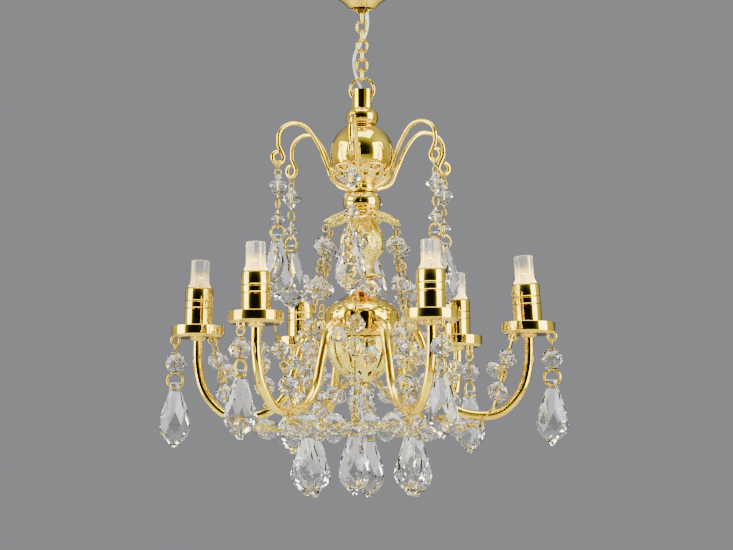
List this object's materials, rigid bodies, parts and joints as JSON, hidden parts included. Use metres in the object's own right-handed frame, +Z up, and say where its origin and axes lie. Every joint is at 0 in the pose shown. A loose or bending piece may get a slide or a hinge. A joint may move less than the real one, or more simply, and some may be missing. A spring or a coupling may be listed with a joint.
{
  "type": "miniature chandelier",
  "caption": "Dolls-house chandelier: gilt turned column on a short chain, scrolled candle arms with lamps, wire crooks and strings of faceted beads and pear drops.",
  "frame": {"origin": "centre of the flat upper face of the ceiling rose, where it meets the ceiling", "axes": "+Z up towards the ceiling, +X along one candle arm, -Y towards a crook and the front"},
  "size_m": [0.0694, 0.0602, 0.0891],
  "materials": {
    "gilt": "mirror-polished yellow gilt on brass",
    "candle_gilt": "polished gilt tube with two turned grooves",
    "crystal": "clear cut crystal beads and drops on thin gilt pins",
    "lamp_resin": "clear cast resin with a warm white glow",
    "lead_pvc": "thin white flexible sleeve"
  },
  "bodies": {
    "ceiling": {"canopy_base": "gilt", "canopy_cover": "gilt", "lamp_lead": "lead_pvc"},
    "link_1": {"chain_link_1": "gilt"},
    "link_2": {"chain_link_2": "gilt"},
    "link_3": {"chain_link_3": "gilt"},
    "link_4": {"chain_link_4": "gilt"},
    "link_5": {"chain_link_5": "gilt"},
    "link_6": {"chain_link_6": "gilt"},
    "link_7": {"chain_link_7": "gilt"},
    "ring": {"jump_ring": "gilt"},
    "column": {"stem_tube": "gilt", "collar_bead": "gilt", "upper_ball": "gilt", "leaf_cup": "gilt", "crook_crown": "gilt", "vase_bead": "gilt", "petal_cap": "gilt", "baluster": "gilt", "neck_washer": "gilt", "bowl": "gilt", "lattice_basket": "gilt", "finial_eye": "gilt", "arm_1": "gilt", "drip_pan_1": "gilt", "candle_tube_1": "candle_gilt", "led_lamp_1": "lamp_resin", "arm_2": "gilt", "drip_pan_2": "gilt", "candle_tube_2": "candle_gilt", "led_lamp_2": "lamp_resin", "arm_3": "gilt", "drip_pan_3": "gilt", "candle_tube_3": "candle_gilt", "led_lamp_3": "lamp_resin", "arm_4": "gilt", "drip_pan_4": "gilt", "candle_tube_4": "candle_gilt", "led_lamp_4": "lamp_resin", "arm_5": "gilt", "drip_pan_5": "gilt", "candle_tube_5": "candle_gilt", "led_lamp_5": "lamp_resin", "arm_6": "gilt", "drip_pan_6": "gilt", "candle_tube_6": "candle_gilt", "led_lamp_6": "lamp_resin", "crystal_web": "crystal"},
    "crook_string_1": {"crook_string_1": "crystal"},
    "crook_string_2": {"crook_string_2": "crystal"},
    "crook_string_3": {"crook_string_3": "crystal"},
    "crook_string_4": {"crook_string_4": "crystal"},
    "crook_string_5": {"crook_string_5": "crystal"},
    "crook_string_6": {"crook_string_6": "crystal"},
    "pan_pendant_1": {"pan_pendant_1": "crystal"},
    "pan_pendant_2": {"pan_pendant_2": "crystal"},
    "pan_pendant_3": {"pan_pendant_3": "crystal"},
    "pan_pendant_4": {"pan_pendant_4": "crystal"},
    "pan_pendant_5": {"pan_pendant_5": "crystal"},
    "pan_pendant_6": {"pan_pendant_6": "crystal"}
  },
  "joints": [
    {"name": "chain_hinge_1", "type": "hinge", "parent": "ceiling", "child": "link_1", "pos_m": [0, 0, -0.0069], "axis": [1, 0, 0], "range_deg": [-8, 8], "deforming": ["lamp_lead"]},
    {"name": "chain_hinge_2", "type": "hinge", "parent": "link_1", "child": "link_2", "pos_m": [0, 0, -0.00853], "axis": [0, 1, 0], "range_deg": [-8, 8]},
    {"name": "chain_hinge_3", "type": "hinge", "parent": "link_2", "child": "link_3", "pos_m": [0, 0, -0.0102], "axis": [1, 0, 0], "range_deg": [-8, 8]},
    {"name": "chain_hinge_4", "type": "hinge", "parent": "link_3", "child": "link_4", "pos_m": [0, 0, -0.01187], "axis": [0, 1, 0], "range_deg": [-8, 8]},
    {"name": "chain_hinge_5", "type": "hinge", "parent": "link_4", "child": "link_5", "pos_m": [0, 0, -0.01354], "axis": [1, 0, 0], "range_deg": [-8, 8]},
    {"name": "chain_hinge_6", "type": "hinge", "parent": "link_5", "child": "link_6", "pos_m": [0, 0, -0.01521], "axis": [0, 1, 0], "range_deg": [-8, 8]},
    {"name": "chain_hinge_7", "type": "hinge", "parent": "link_6", "child": "link_7", "pos_m": [0, 0, -0.01688], "axis": [1, 0, 0], "range_deg": [-8, 8]},
    {"name": "ring_hinge", "type": "hinge", "parent": "link_7", "child": "ring", "pos_m": [0, 0, -0.01855], "axis": [0, 1, 0], "range_deg": [-8, 8]},
    {"name": "column_hinge", "type": "hinge", "parent": "ring", "child": "column", "pos_m": [0, 0, -0.02214], "axis": [1, 0, 0], "range_deg": [-8, 8]},
    {"name": "crook_swing_1", "type": "hinge", "parent": "column", "child": "crook_string_1", "pos_m": [0.01325, 0.00765, -0.03294], "axis": [0.5, -0.866, 0], "range_deg": [-4, 40]},
    {"name": "crook_swing_2", "type": "hinge", "parent": "column", "child": "crook_string_2", "pos_m": [0, 0.0153, -0.03294], "axis": [1, 0, 0], "range_deg": [-4, 40]},
    {"name": "crook_swing_3", "type": "hinge", "parent": "column", "child": "crook_string_3", "pos_m": [-0.01325, 0.00765, -0.03294], "axis": [0.5, 0.866, 0], "range_deg": [-4, 40]},
    {"name": "crook_swing_4", "type": "hinge", "parent": "column", "child": "crook_string_4", "pos_m": [-0.01325, -0.00765, -0.03294], "axis": [-0.5, 0.866, 0], "range_deg": [-4, 40]},
    {"name": "crook_swing_5", "type": "hinge", "parent": "column", "child": "crook_string_5", "pos_m": [0, -0.0153, -0.03294], "axis": [-1, 0, 0], "range_deg": [-4, 40]},
    {"name": "crook_swing_6", "type": "hinge", "parent": "column", "child": "crook_string_6", "pos_m": [0.01325, -0.00765, -0.03294], "axis": [-0.5, -0.866, 0], "range_deg": [-4, 40]},
    {"name": "pendant_swing_1", "type": "hinge", "parent": "column", "child": "pan_pendant_1", "pos_m": [0.03195, 0, -0.06254], "axis": [0, -1, 0], "range_deg": [-12, 45]},
    {"name": "pendant_swing_2", "type": "hinge", "parent": "column", "child": "pan_pendant_2", "pos_m": [0.01597, 0.02767, -0.06254], "axis": [0.866, -0.5, 0], "range_deg": [-12, 45]},
    {"name": "pendant_swing_3", "type": "hinge", "parent": "column", "child": "pan_pendant_3", "pos_m": [-0.01597, 0.02767, -0.06254], "axis": [0.866, 0.5, 0], "range_deg": [-12, 45]},
    {"name": "pendant_swing_4", "type": "hinge", "parent": "column", "child": "pan_pendant_4", "pos_m": [-0.03195, 0, -0.06254], "axis": [0, 1, 0], "range_deg": [-12, 45]},
    {"name": "pendant_swing_5", "type": "hinge", "parent": "column", "child": "pan_pendant_5", "pos_m": [-0.01597, -0.02767, -0.06254], "axis": [-0.866, 0.5, 0], "range_deg": [-12, 45]},
    {"name": "pendant_swing_6", "type": "hinge", "parent": "column", "child": "pan_pendant_6", "pos_m": [0.01597, -0.02767, -0.06254], "axis": [-0.866, -0.5, 0], "range_deg": [-12, 45]}
  ]
}
